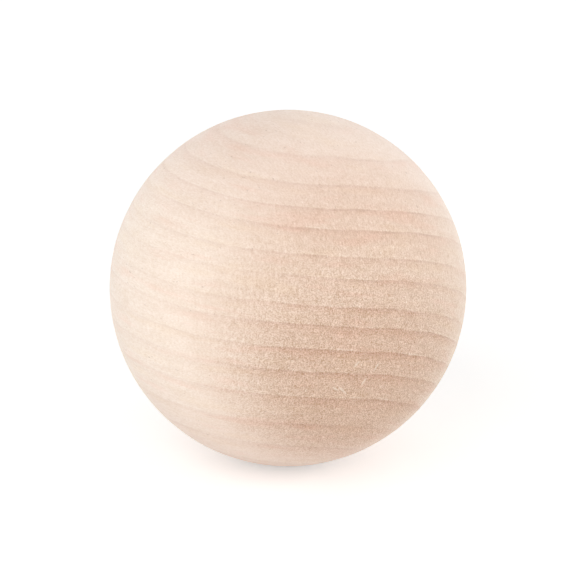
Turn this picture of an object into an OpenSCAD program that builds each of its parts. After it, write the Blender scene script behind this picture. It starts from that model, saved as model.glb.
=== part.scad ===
// Turned wooden ball: one solid sphere of bare hardwood, with no hole, flat or finish.
// Millimetres, +Z up, with the origin at the centre of the ball.

/* [Ball] */
// Diameter of the turned and sanded ball
ball_d = 76; // [20:1:120]

// Colour of the bare wood
wood_colour = "#EAD2BE"; // [#EAD2BE, #D9BBA6, #F3E2D2]

/* [Hidden] */

// Chord that the sanded surface may be drawn with, well under what the eye picks out
facet_mm = 1.6;

// Sides round the equator, from the ball's own circumference
ball_sides = ceil(PI * ball_d / facet_mm);

// The ball as it leaves the lathe: the half circle of the cutter's path, turned about the spindle.
// A full sphere is that same surface, with nothing left of the stub at either end.
module ball() {
    color(wood_colour)
        sphere(d = ball_d, $fn = ball_sides);
}

ball();
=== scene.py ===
"""A turned and sanded ball of bare pale hardwood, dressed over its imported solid, on a plain pale stage."""

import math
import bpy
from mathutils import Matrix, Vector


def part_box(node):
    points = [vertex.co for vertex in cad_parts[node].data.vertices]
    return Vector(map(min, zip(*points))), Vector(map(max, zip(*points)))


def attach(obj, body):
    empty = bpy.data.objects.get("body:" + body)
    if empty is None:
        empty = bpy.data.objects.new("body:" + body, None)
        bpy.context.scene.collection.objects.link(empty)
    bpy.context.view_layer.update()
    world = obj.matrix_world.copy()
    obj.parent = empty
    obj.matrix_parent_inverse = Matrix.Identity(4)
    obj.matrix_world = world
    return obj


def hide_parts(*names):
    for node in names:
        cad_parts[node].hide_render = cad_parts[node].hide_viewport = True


bl_info = {
    "name": "Turned Wooden Ball",
    "version": (1, 0, 0),
    "blender": (4, 5, 0),
    "location": "3D View > Sidebar > Wooden Ball",
    "description": "Builds a sanded hardwood ball with its year rings, rays and pores, on a pale studio stage",
    "category": "Object",
}

from typing import NamedTuple

import bmesh
import bpy
from mathutils import Vector, noise

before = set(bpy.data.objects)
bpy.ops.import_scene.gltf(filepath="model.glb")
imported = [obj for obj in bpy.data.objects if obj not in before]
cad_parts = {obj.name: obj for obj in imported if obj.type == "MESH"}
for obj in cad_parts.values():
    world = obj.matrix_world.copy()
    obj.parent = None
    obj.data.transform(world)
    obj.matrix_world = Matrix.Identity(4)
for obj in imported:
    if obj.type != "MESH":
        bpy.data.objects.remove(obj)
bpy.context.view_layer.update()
BALL_LOW, BALL_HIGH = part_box("ball")
BALL_RADIUS = (BALL_HIGH.z - BALL_LOW.z) / 2

MM = 0.001

# Soft round lamps: name, power in W, and azimuth and rise as seen from the ball in degrees. All stand at
# one distance from it and have one width, in m.
LAMPS = (
    ("front_left", 10.2, -32, 37),
    ("front", 10.6, 8, 10),
    ("right", 15.4, 82, 8),
    ("left", 4.3, -85, 10),
    ("back_right", 4.5, 145, 20),
    ("back_left", 4.5, -145, 20),
)
LAMP_DISTANCE = 1.8
LAMP_WIDTH = 1.6

# The floor: its radius in m, its sides, and the glow that lifts it to white in the camera's eye alone
FLOOR_RADIUS = 3.0
FLOOR_SIDES = 64
FLOOR_GLOW = 0.42

# Facets along each edge of the cube that is rounded into the ball
FACETS = 120

# How often the faint flats of hand sanding come and go along one radius
FLATS_PER_RADIUS = 5

# How the ball was cut from its board. Azimuth runs from +X towards +Y, rise from level towards +Z. The rise,
# the roll and the pith's place come from a least-squares fit to the ring lines traced in the photograph.
FIBRE_AZIMUTH = math.radians(-60)
FIBRE_RISE = math.radians(0.5)
BARK_ROLL = math.radians(-6.2)

# The pith of the tree, in mm from the centre of the ball
PITH_BELOW = 134.0
PITH_ASIDE = -16.5

# How far the rings stray from true circles round the pith, in mm at one radius from the centre of the ball:
# the climb along the fibres, the bow and the swing across them, how the rings spread towards one side, and
# how their bow changes outward. A second fit, of the render's lines to the photograph's, gave these five.
RING_CLIMB = -0.49
RING_BOW = 1.54
RING_SWING = 3.32
RING_SPREAD = -1.67
RING_SPREAD_BOW = -1.51

# The slow sway and the quick waver of the rings: how far each goes, and the lengths over which it changes,
# across the wood, outward and along the fibres, all in mm. The waver starts at another place in the noise.
SWAY = 0.5
SWAY_LENGTHS = (22, 30, 50)
WAVER = 0.2
WAVER_LENGTHS = (6, 9, 18)
WAVER_START = 7

# The outermost ring line, in mm outward from the centre of the ball, and the years under it, bark side
# first: how wide each grew in mm, and how strong its line is. The first fit gave the second to thirteenth
# widths, and the other four carry the rings on past the traced lines. The strengths were set one by one.
OUTER_LINE = 41.8
YEARS = (
    (4.4, 0.4),
    (4.4, 0.45),
    (4.5, 0.7),
    (4.1, 1.1),
    (3.7, 1.0),
    (5.2, 1.05),
    (4.2, 0.65),
    (5.8, 0.6),
    (3.9, 0.8),
    (5.3, 1.1),
    (5.0, 0.9),
    (6.0, 1.0),
    (7.0, 0.9),
    (6.4, 0.75),
    (6.2, 0.7),
    (6.5, 0.7),
)

# The wood of one year: the share of the year, counted inward from its ring line, the shade of the hard line
# itself, the shade of the warm band that fades out under it, and the paleness of the first spring wood
YEAR_SHADES = (
    (0.0, 1.0, 1.0, 0.0),
    (0.05, 1.0, 1.0, 0.0),
    (0.09, 0.2, 0.95, 0.0),
    (0.16, 0.0, 0.8, 0.0),
    (0.28, 0.0, 0.5, 0.0),
    (0.42, 0.0, 0.22, 0.0),
    (0.6, 0.0, 0.05, 0.0),
    (0.72, 0.0, 0.16, 0.0),
    (0.84, 0.0, 0.05, 0.0),
    (0.9, 0.0, 0.0, 0.1),
    (0.95, 0.0, 0.0, 1.0),
    (0.965, 0.0, 0.1, 0.8),
    (0.985, 0.7, 0.5, 0.0),
)

# How far the line, the band and the pale edge colour the wood at full strength
LINE_SHARE = 0.26
BAND_SHARE = 0.35
PALE_EDGE_SHARE = 0.45

# How crisp the ring lines are: where the fibres lie in the surface, what is added where the rings lie in it
# too, and what is added on the end grain, where it sets in late
LONG_CRISPNESS = 0.15
FLAT_CRISPNESS = 0.14
END_CRISPNESS = 0.8
END_STEEPNESS = 4.0

# The side of the ball where the cutter met the fibre ends and tore them a little. The darker, warmer tint
# of the torn ends there is partly their own colour and partly painted shade, low at the front of the ball.
TORN_AZIMUTH = math.radians(-65)
TORN_RISE = math.radians(-20)

# Where each face of the wood starts to show and shows in full, as the cosine between the surface's outward
# direction and the fibres, the direction to the bark, or the torn side
END_GRAIN_SHOWS = (0.34, 0.9)
FLAT_GRAIN_SHOWS = (0.3, 0.9)
# The torn tint is partly painted shade, low at the front of the ball
TORN_TINT_AND_SHADE_SHOWS = (0.68, 1.0)
TORN_PITS_SHOW = (0.5, 0.95)

# How much of the rays and pits is left where the fibres lie in the surface, and how deep the pits are on
# sound and on torn end grain
LONG_GRAIN_SHARE = 0.3
SOUND_PITS = 0.42
TORN_PITS = 1.15

# Red, green and blue share of a darker or lighter tone: dark places in bare wood are brown and not grey
WARM_SHADE = (0.7, 1.0, 1.35)

# Height in mm of the fuzz and pits, and the roughness: where fibres lie in the surface, on their cut ends,
# and how it falls as the wood gets lighter
GRAIN_HEIGHT = 0.18
LONG_ROUGHNESS = 0.56
END_ROUGHNESS = 0.7
ROUGHNESS_BY_TONE = -0.4

# Pale nicks left by the sanding: azimuth and rise in degrees, length in mm, and lean in degrees from level,
# where a positive lean falls to the right
NICKS = (
    (-72.0, -15.9, 3.6, 38),
    (-74.5, -15.0, 2.0, 30),
    (-64.9, -13.7, 2.8, -68),
    (-60.9, -9.1, 3.0, -66),
    (-68.0, -7.0, 2.4, -55),
)

# Half the width of a nick in mm, where it starts and is in full as a share of that, and how far it covers
# the wood
NICK_HALF_WIDTH = 0.27
NICK_EDGE = (1.0, 0.5)
NICK_SHARE = 0.5


class Pattern(NamedTuple):
    """Soft spots in the wood.

    The size is in mm: across the wood, outward and along the fibres. The value runs from low to high with
    the noise, evenly, or in a soft step from the first of its edges to the second. The detail is how many
    finer noises are mixed in, each half the size of the last, and the lean turns the spots about the fibres.
    """

    size: tuple
    low: float = 0.0
    high: float = 1.0
    edges: tuple = None
    detail: float = 2.0
    lean: float = 0.0


# The vessels, rays and fibres of such wood are 0.02 to 0.1 mm wide, too fine for the picture, so they are
# drawn at 0.2 to 0.5 mm, as coarse as they need to be to show
FIBRE_ENDS = Pattern(size=(0.23, 0.25, 0.6), low=-0.18, high=0.18, edges=(0.28, 0.72), detail=1.0)
FIBRES = Pattern(size=(0.3, 0.26, 0.9), low=-0.15, high=0.15)
RAYS = Pattern(size=(0.34, 1.3, 0.7), low=-0.2, high=0.2, detail=1.0)
PORE_SPECKS = Pattern(size=(0.5, 0.5, 1.4), high=0.3, edges=(0.68, 0.76))
PALE_FLECKS = Pattern(size=(0.3, 0.9, 0.6), high=0.45, edges=(0.66, 0.74), lean=math.radians(-25))

# Bundles of rays, streaks, clouds and patches of tone are broad enough to be drawn at their real size. The
# blush and the cream are the high and the low side of one noise, so they never lie in one place.
RAY_BUNDLES = Pattern(size=(1.0, 6.0, 4.0), low=-0.05, high=0.05)
STREAKS = Pattern(size=(3.0, 0.8, 14.0), low=-0.06, high=0.06)
CLOUDS = Pattern(size=(6.0, 3.0, 12.0), low=-0.04, high=0.04)
BLUSH_PATCHES = Pattern(size=(12.0, 2.6, 18.0), edges=(0.5, 0.75))
CREAM_PATCHES = Pattern(size=(12.0, 2.6, 18.0), edges=(0.5, 0.25))

# How far the ring lines waver, as a share of a year, and where they and their pale edges fade
LINE_WAVER = Pattern(size=(0.9, 2.0, 4.0), high=0.03)
LINE_PATCHES = Pattern(size=(9.0, 3.0, 30.0), low=0.55, edges=(0.3, 0.65))
LINE_BREAKS = Pattern(size=(3.0, 1.5, 8.0), low=0.3, edges=(0.35, 0.6))
PALE_EDGE_PLACES = Pattern(size=(6.0, 2.0, 16.0), low=0.1, edges=(0.45, 0.65))


def to_linear(hex_colour):
    """An sRGB hex colour as linear RGBA."""
    values = [int(hex_colour[i : i + 2], 16) / 255 for i in (1, 3, 5)]
    return (*(v / 12.92 if v <= 0.04045 else ((v + 0.055) / 1.055) ** 2.4 for v in values), 1.0)


def colour_property(name, description, hex_colour):
    """A colour that a user may change, with its default written in sRGB."""
    return bpy.props.FloatVectorProperty(
        name=name,
        description=description,
        default=to_linear(hex_colour),
        size=4,
        min=0,
        max=1,
        subtype="COLOR",
    )


class BallSettings(bpy.types.PropertyGroup):
    """Sizes and colours of the ball and its wood."""

    radius: bpy.props.FloatProperty(
        name="Radius",
        description="Radius of the turned ball",
        default=BALL_RADIUS,
        unit="LENGTH",
        subtype="DISTANCE",
    )
    ring_relief: bpy.props.FloatProperty(
        name="Ring Relief",
        description="How far sanding has cut the soft spring wood below the hard autumn wood",
        default=0.012 * MM,
        unit="LENGTH",
        subtype="DISTANCE",
    )
    sanding_flats: bpy.props.FloatProperty(
        name="Sanding Flats",
        description="Depth of the faint flats that hand sanding leaves",
        default=0.05 * MM,
        unit="LENGTH",
        subtype="DISTANCE",
    )
    spring_wood: colour_property("Spring Wood", "Pale wood where the fibres lie in the surface", "#FBECDE")
    end_grain: colour_property("End Grain", "Dusky cut ends of the fibres", "#ECD5C2")
    # Torn wood: partly the torn ends' own tint, partly painted shade, darker and warmer low at the front
    torn_wood_and_painted_shade: colour_property("Torn Wood", "Tint of the ends that the cutter tore", "#F5EDE7")
    flat_sawn: colour_property("Flat Sawn", "Tint of the wood where the rings lie in the surface", "#FBF6F5")
    autumn_wood: colour_property("Autumn Wood", "Warm band of the late wood in each year", "#C57D52")
    ring_line: colour_property("Ring Line", "Thin hard line at the end of each year", "#95634A")
    blush: colour_property("Blush", "Tint of the faint pink patches", "#FEF8F6")
    cream: colour_property("Cream", "Tint of the faint yellow patches", "#FFFEFB")
    pore: colour_property("Pore", "Colour inside the open pores", "#9A7860")
    fuzz: colour_property("Fuzz", "Pale raised fibre ends that sanding leaves", "#FFF4E8")


class StageSettings(bpy.types.PropertyGroup):
    """Camera, lamps and floor."""

    camera_distance: bpy.props.FloatProperty(
        name="Camera Distance",
        description="From the camera to the centre of the ball",
        default=0.95,
        unit="LENGTH",
        subtype="DISTANCE",
    )
    camera_rise: bpy.props.FloatProperty(
        name="Camera Rise",
        description="Angle of the camera above the horizon",
        default=math.radians(19),
        unit="ROTATION",
        subtype="ANGLE",
    )
    frame_share: bpy.props.FloatProperty(
        name="Frame Share",
        description="Width of the ball as a share of the width of the picture",
        default=0.62,
        min=0.1,
        max=0.95,
        subtype="FACTOR",
    )
    floor_colour: colour_property("Floor", "Colour of the floor", "#EEEDEC")
    soft_light: bpy.props.FloatProperty(
        name="Soft Light",
        description="Level of the even light from all round",
        default=0.39,
        min=0,
    )
    lamp_level: bpy.props.FloatProperty(
        name="Lamp Level",
        description="Power of all the lamps, as a share of what they were set to",
        default=1.0,
        min=0,
    )


def direction(azimuth, rise):
    """The unit vector with this azimuth from +X towards +Y and this rise."""
    level = math.cos(rise)
    return Vector((level * math.cos(azimuth), level * math.sin(azimuth), math.sin(rise)))


def grain_axes():
    """Unit vectors of the wood: along the fibres, outward to the bark, and across between the two."""
    along = direction(FIBRE_AZIMUTH, FIBRE_RISE)
    level = (Vector((0, 0, 1)) - along.z * along).normalized()
    outward = math.cos(BARK_ROLL) * level + math.sin(BARK_ROLL) * along.cross(level)
    return along, outward, outward.cross(along)


def ring_stray(along, outward, across):
    """How far in mm the rings of the grown trunk lie off true circles; the place is in radii of the ball."""
    bow = RING_BOW + RING_SPREAD_BOW * outward
    return RING_CLIMB * along + RING_SPREAD * across * outward + bow * across**2 + RING_SWING * across**3


def unevenness(place, lengths, start=0):
    """Smooth noise about zero at a place in the wood in mm, which changes over these lengths."""
    across, outward, along = (value / length for value, length in zip(place, lengths))
    return noise.noise(Vector((across, outward, along + start)))


def grain_place(point, axes):
    """Place of a point in the wood, in mm: across, outward from the pith's side, and along the fibres.

    Equal values of the second number lie on one year ring, with the bends of the trunk worked in.
    """
    along, outward, across = (axis.dot(point) / MM for axis in axes)
    pith = math.hypot(PITH_BELOW, PITH_ASIDE)
    radial = math.hypot(outward + PITH_BELOW, across - PITH_ASIDE) - pith
    radial += ring_stray(*(axis.dot(point) / BALL_RADIUS for axis in axes))
    sway = SWAY * unevenness((across, radial, along), SWAY_LENGTHS)
    waver = WAVER * unevenness((across, radial, along), WAVER_LENGTHS, WAVER_START)
    return Vector((across, radial + sway + waver, along))


def year_at(outward):
    """Years under the outermost line at this place in the wood, and the strength of that year's line."""
    line = OUTER_LINE
    for count, (width, strength) in enumerate(YEARS):
        if outward > line - width or count == len(YEARS) - 1:
            return count + (line - outward) / width, strength
        line -= width


def ball_mesh(settings):
    """The ball as one closed skin of even quads, with the wood's own values on its points."""
    bm = bmesh.new()
    bmesh.ops.create_cube(bm, size=2)
    bmesh.ops.subdivide_edges(bm, edges=bm.edges[:], cuts=FACETS - 1, use_grid_fill=True)
    axes = grain_axes()
    torn_side = direction(TORN_AZIMUTH, TORN_RISE)
    grain_layer = bm.verts.layers.float_vector.new("grain_mm")
    year_layer = bm.verts.layers.float.new("years")
    strength_layer = bm.verts.layers.float.new("line_strength")
    end_layer = bm.verts.layers.float.new("end_grain")
    flat_layer = bm.verts.layers.float.new("flat_grain")
    torn_layer = bm.verts.layers.float.new("torn_grain")
    for vertex in bm.verts:
        evened = Vector(math.tan(value * math.pi / 4) for value in vertex.co)
        normal = evened.normalized()
        place = grain_place(normal * settings.radius, axes)
        years, strength = year_at(place.y)
        softness = math.sin(math.pi * (years % 1))
        flats = (noise.noise(normal * FLATS_PER_RADIUS) + 1) / 2
        depth = settings.ring_relief * softness + settings.sanding_flats * flats
        vertex.co = normal * (settings.radius - depth)
        vertex[grain_layer] = place
        vertex[year_layer] = years
        vertex[strength_layer] = strength
        vertex[end_layer] = abs(normal.dot(axes[0]))
        vertex[flat_layer] = abs(normal.dot(axes[1]))
        vertex[torn_layer] = abs(normal.dot(torn_side))
    for face in bm.faces:
        face.smooth = True
    mesh = bpy.data.meshes.new("turned_ball")
    bm.to_mesh(mesh)
    bm.free()
    return mesh


def add_node(tree, kind, inputs=(), **settings):
    """Adds one shader node, sets its options, and feeds or fills its inputs."""
    made = tree.nodes.new("ShaderNode" + kind)
    for name, value in settings.items():
        setattr(made, name, value)
    for place, value in dict(inputs).items():
        if isinstance(value, bpy.types.NodeSocket):
            tree.links.new(value, made.inputs[place])
        else:
            made.inputs[place].default_value = value
    return made


def spots(tree, grain, kind):
    """The value of one pattern all over the wood."""
    place = add_node(
        tree,
        "Mapping",
        {"Vector": grain, "Scale": kind.size, "Rotation": (0, 0, kind.lean)},
        vector_type="TEXTURE",
    )
    noisy = add_node(tree, "TexNoise", {"Vector": place.outputs[0], "Scale": 1.0, "Detail": kind.detail})
    start, end = kind.edges or (0.0, 1.0)
    inputs = {0: noisy.outputs[0], 1: start, 2: end, 3: kind.low, 4: kind.high}
    curve = "SMOOTHSTEP" if kind.edges else "LINEAR"
    return add_node(tree, "MapRange", inputs, interpolation_type=curve).outputs[0]


def facing(tree, name, shows):
    """How much one face of the wood shows, from 0 to 1 between two cosines kept on the mesh."""
    cosine = add_node(tree, "Attribute", attribute_name=name).outputs["Fac"]
    inputs = {0: cosine, 1: shows[0], 2: shows[1]}
    return add_node(tree, "MapRange", inputs, interpolation_type="SMOOTHSTEP").outputs[0]


def weighed(tree, *terms):
    """The sum of all terms, each one the product of its factors."""
    total = 0.0
    for first, *factors, last in terms:
        for factor in factors:
            first = add_node(tree, "Math", {0: first, 1: factor}, operation="MULTIPLY").outputs[0]
        inputs = {0: first, 1: last, 2: total}
        total = add_node(tree, "Math", inputs, operation="MULTIPLY_ADD").outputs[0]
    return total


def year_shades(tree, grain, flat):
    """How strong the ring line, the warm band under it and the pale edge over it are; all come and go."""
    years = add_node(tree, "Attribute", attribute_name="years").outputs["Fac"]
    strength = add_node(tree, "Attribute", attribute_name="line_strength").outputs["Fac"]
    end_grain = add_node(tree, "Attribute", attribute_name="end_grain").outputs["Fac"]
    wavered = weighed(tree, (years, 1.0), (spots(tree, grain, LINE_WAVER), 1.0))
    phase = add_node(tree, "Math", {0: wavered}, operation="FRACT").outputs[0]
    shades = add_node(tree, "ValToRGB", {0: phase})
    stops = shades.color_ramp.elements
    while len(stops) < len(YEAR_SHADES):
        stops.new(0.5)
    for stop, (place, *shade) in zip(stops, YEAR_SHADES):
        stop.position = place
        stop.color = (*shade, 1)
    line, band, pale_edge = add_node(tree, "SeparateColor", {0: shades.outputs[0]}).outputs
    steep = add_node(tree, "Math", {0: end_grain, 1: END_STEEPNESS}, operation="POWER").outputs[0]
    crispness = weighed(tree, (steep, END_CRISPNESS), (flat, FLAT_CRISPNESS), (LONG_CRISPNESS, 1.0))
    shown = weighed(tree, (strength, crispness, spots(tree, grain, LINE_PATCHES)))
    return (
        weighed(tree, (line, shown, spots(tree, grain, LINE_BREAKS), LINE_SHARE)),
        weighed(tree, (band, shown, BAND_SHARE)),
        weighed(tree, (pale_edge, shown, spots(tree, grain, PALE_EDGE_PLACES), PALE_EDGE_SHARE)),
    )


def fine_grain(tree, grain, ends):
    """How much the rays, fibre ends and fibres lighten or darken the wood, about zero."""
    inputs = {0: ends, 3: LONG_GRAIN_SHARE}
    shallow = add_node(tree, "MapRange", inputs, interpolation_type="SMOOTHSTEP").outputs[0]
    torn = facing(tree, "torn_grain", TORN_PITS_SHOW)
    pits = weighed(tree, (shallow, SOUND_PITS), (torn, ends, TORN_PITS))
    return weighed(
        tree,
        (spots(tree, grain, RAYS), shallow),
        (spots(tree, grain, RAY_BUNDLES), shallow),
        (spots(tree, grain, FIBRE_ENDS), pits),
        (spots(tree, grain, FIBRES), 1.0),
        (spots(tree, grain, STREAKS), 1.0),
        (spots(tree, grain, CLOUDS), 1.0),
    )


def sanding_nicks(tree, grain):
    """How far the pale nicks cover the wood, each one a short stroke in the surface."""
    strokes = []
    for azimuth, rise, length, lean in NICKS:
        ray = direction(math.radians(azimuth), math.radians(rise))
        place = add_node(
            tree,
            "Mapping",
            {
                "Vector": grain,
                "Location": grain_place(ray * BALL_RADIUS, grain_axes()),
                "Rotation": (0, 0, math.radians(-lean)),
                "Scale": (length / 2, NICK_HALF_WIDTH, length),
            },
            vector_type="TEXTURE",
        )
        reach = add_node(tree, "VectorMath", {0: place.outputs[0]}, operation="LENGTH").outputs["Value"]
        inputs = {0: reach, 1: NICK_EDGE[0], 2: NICK_EDGE[1]}
        stroke = add_node(tree, "MapRange", inputs, interpolation_type="SMOOTHSTEP").outputs[0]
        strokes.append((stroke, NICK_SHARE))
    return weighed(tree, *strokes)


def layered(tree, colour, *layers):
    """The colour with layers over it, each with how it blends, how far it covers and its own colour."""
    for blend, share, cover in layers:
        inputs = {"Factor": share, 6: colour, 7: cover}
        colour = add_node(tree, "Mix", inputs, data_type="RGBA", blend_type=blend).outputs[2]
    return colour


def shaded(tree, colour, tone):
    """The colour made lighter or darker by tone, and browner where it is darker."""
    warm = add_node(
        tree,
        "VectorMath",
        {0: tone, 1: WARM_SHADE, 2: (1.0, 1.0, 1.0)},
        operation="MULTIPLY_ADD",
    ).outputs[0]
    return add_node(tree, "VectorMath", {0: colour, 1: warm}, operation="MULTIPLY").outputs[0]


def bare_sanded_hardwood(settings):
    """Bare diffuse-porous hardwood, turned and sanded: nearly matt, pale and close-grained.

    It shows thin year lines, each with a warm band under it, crisp and dusky on the end grain and faint on
    the long grain, with fine rays across the rings and small pores.
    """
    material = bpy.data.materials.new("bare_sanded_hardwood")
    material.use_nodes = True
    tree = material.node_tree
    tree.nodes.clear()
    grain = add_node(tree, "Attribute", attribute_name="grain_mm").outputs["Vector"]
    ends = facing(tree, "end_grain", END_GRAIN_SHOWS)
    flat = facing(tree, "flat_grain", FLAT_GRAIN_SHOWS)
    # The torn ends' tint: partly the wood's own colour, partly painted shade low at the front of the ball
    torn = weighed(tree, (facing(tree, "torn_grain", TORN_TINT_AND_SHADE_SHOWS), ends))
    line, band, pale_edge = year_shades(tree, grain, flat)
    flecks = weighed(tree, (spots(tree, grain, PALE_FLECKS), ends))
    tone = fine_grain(tree, grain, ends)
    colour = layered(
        tree,
        settings.spring_wood,
        ("MIX", ends, settings.end_grain),
        ("MULTIPLY", flat, settings.flat_sawn),
        ("MULTIPLY", torn, settings.torn_wood_and_painted_shade),
        ("MULTIPLY", spots(tree, grain, BLUSH_PATCHES), settings.blush),
        ("MULTIPLY", spots(tree, grain, CREAM_PATCHES), settings.cream),
        ("MIX", band, settings.autumn_wood),
        ("MIX", line, settings.ring_line),
        ("MIX", pale_edge, settings.fuzz),
        ("MIX", spots(tree, grain, PORE_SPECKS), settings.pore),
        ("MIX", flecks, settings.fuzz),
    )
    colour = shaded(tree, colour, tone)
    colour = layered(tree, colour, ("MIX", sanding_nicks(tree, grain), settings.fuzz))
    bump = add_node(tree, "Bump", {"Height": tone, "Strength": 1.0, "Distance": GRAIN_HEIGHT * MM})
    inputs = {0: ends, 3: LONG_ROUGHNESS, 4: END_ROUGHNESS}
    dullness = add_node(tree, "MapRange", inputs, interpolation_type="SMOOTHSTEP").outputs[0]
    shader = add_node(
        tree,
        "BsdfPrincipled",
        {
            "Base Color": colour,
            "Roughness": weighed(tree, (dullness, 1.0), (tone, ROUGHNESS_BY_TONE)),
            "IOR": 1.5,
            "Diffuse Roughness": 0.6,
            "Sheen Weight": 0.08,
            "Sheen Roughness": 0.4,
            "Normal": bump.outputs[0],
        },
    )
    add_node(tree, "OutputMaterial", {"Surface": shader.outputs[0]})
    return material


class WOODENBALL_OT_add_ball(bpy.types.Operator):
    """Build the turned ball and give it its bare wood"""

    bl_idname = "wooden_ball.add_ball"
    bl_label = "Add Ball"

    def execute(self, context):
        settings = context.scene.wooden_ball
        ball = bpy.data.objects.new("turned_ball", ball_mesh(settings))
        context.collection.objects.link(ball)
        ball.data.materials.append(bare_sanded_hardwood(settings))
        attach(ball, "root")
        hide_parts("ball")
        return {"FINISHED"}


def seen_background(tree):
    """1 for rays that see the floor or the studio as a background, and 0 for rays that light the ball."""
    path = add_node(tree, "LightPath").outputs
    seen = 0.0
    for ray in ("Is Camera Ray", "Is Glossy Ray", "Is Transmission Ray"):
        seen = add_node(tree, "Math", {0: path[ray], 1: seen}, operation="MAXIMUM").outputs[0]
    return seen


def matt_white_paper(settings):
    """Plain matt paper for the floor, which the camera sees as white while it keeps the ball's shadow."""
    material = bpy.data.materials.new("matt_white_paper")
    material.use_nodes = True
    tree = material.node_tree
    tree.nodes.clear()
    diffuse = add_node(tree, "BsdfDiffuse", {"Color": settings.floor_colour})
    glow = weighed(tree, (seen_background(tree), FLOOR_GLOW))
    lift = add_node(tree, "Emission", {"Color": (1, 1, 1, 1), "Strength": glow})
    both = add_node(tree, "AddShader", {0: diffuse.outputs[0], 1: lift.outputs[0]})
    add_node(tree, "OutputMaterial", {"Surface": both.outputs[0]})
    return material


def add_floor(settings):
    """A wide round floor just under the ball."""
    bm = bmesh.new()
    bmesh.ops.create_circle(bm, cap_ends=True, segments=FLOOR_SIDES, radius=FLOOR_RADIUS)
    mesh = bpy.data.meshes.new("floor")
    bm.to_mesh(mesh)
    bm.free()
    floor = bpy.data.objects.new("floor", mesh)
    floor.location.z = BALL_LOW.z
    floor.data.materials.append(matt_white_paper(settings))
    bpy.context.collection.objects.link(floor)


def add_world(settings):
    """Even white light from all round, and a white background."""
    world = bpy.data.worlds.new("studio")
    bpy.context.scene.world = world
    world.use_nodes = True
    tree = world.node_tree
    tree.nodes.clear()
    level = add_node(tree, "MapRange", {0: seen_background(tree), 3: settings.soft_light}).outputs[0]
    sky = add_node(tree, "Background", {"Color": (1, 1, 1, 1), "Strength": level})
    add_node(tree, "OutputWorld", {"Surface": sky.outputs[0]})


def aim(thing, place):
    """Puts a lamp or camera at a place and turns it to look at the centre of the ball."""
    thing.location = place
    thing.rotation_euler = (-place).to_track_quat("-Z", "Y").to_euler()


def stand(azimuth, rise, distance):
    """Where a lamp or camera stands: azimuth 0 is in front of the ball, towards -Y, and grows towards +X."""
    level = distance * math.cos(rise)
    return Vector((level * math.sin(azimuth), -level * math.cos(azimuth), distance * math.sin(rise)))


def add_lamps(settings):
    """Large soft lamps in front of the ball, at both sides and, weaker, behind it."""
    for name, power, azimuth, rise in LAMPS:
        data = bpy.data.lights.new(name, "AREA")
        data.shape = "DISK"
        data.size = LAMP_WIDTH
        data.energy = power * settings.lamp_level
        lamp = bpy.data.objects.new(name, data)
        aim(lamp, stand(math.radians(azimuth), math.radians(rise), LAMP_DISTANCE))
        bpy.context.collection.objects.link(lamp)


def add_camera(settings):
    """The camera that takes the picture, with the ball in the middle of the frame."""
    data = bpy.data.cameras.new("camera")
    camera = bpy.data.objects.new("camera", data)
    aim(camera, stand(0, settings.camera_rise, settings.camera_distance))
    half_angle = math.asin(BALL_RADIUS / settings.camera_distance)
    data.lens = settings.frame_share * data.sensor_width / 2 / math.tan(half_angle)
    bpy.context.collection.objects.link(camera)
    bpy.context.scene.camera = camera


class WOODENBALL_OT_add_stage(bpy.types.Operator):
    """Add the floor, the soft light and the camera"""

    bl_idname = "wooden_ball.add_stage"
    bl_label = "Add Stage"

    def execute(self, context):
        settings = context.scene.wooden_ball_stage
        context.scene.view_settings.view_transform = "Standard"
        add_world(settings)
        add_floor(settings)
        add_lamps(settings)
        add_camera(settings)
        return {"FINISHED"}


class WOODENBALL_PT_panel(bpy.types.Panel):
    """Lists the steps that build the ball and its stage"""

    bl_label = "Wooden Ball"
    bl_idname = "WOODENBALL_PT_panel"
    bl_space_type = "VIEW_3D"
    bl_region_type = "UI"
    bl_category = "Wooden Ball"

    def draw(self, context):
        layout = self.layout
        for group in (context.scene.wooden_ball, context.scene.wooden_ball_stage):
            column = layout.column()
            for name in group.__annotations__:
                column.prop(group, name)
        layout.operator(WOODENBALL_OT_add_ball.bl_idname)
        layout.operator(WOODENBALL_OT_add_stage.bl_idname)


CLASSES = (
    BallSettings,
    StageSettings,
    WOODENBALL_OT_add_ball,
    WOODENBALL_OT_add_stage,
    WOODENBALL_PT_panel,
)


def register():
    """Adds the classes and their settings to Blender."""
    for cls in CLASSES:
        bpy.utils.register_class(cls)
    bpy.types.Scene.wooden_ball = bpy.props.PointerProperty(type=BallSettings)
    bpy.types.Scene.wooden_ball_stage = bpy.props.PointerProperty(type=StageSettings)


def unregister():
    """Takes the settings and the classes out again."""
    del bpy.types.Scene.wooden_ball_stage
    del bpy.types.Scene.wooden_ball
    for cls in reversed(CLASSES):
        bpy.utils.unregister_class(cls)


def main():
    register()
    bpy.ops.wooden_ball.add_ball()
    bpy.ops.wooden_ball.add_stage()


if __name__ == "__main__":
    main()
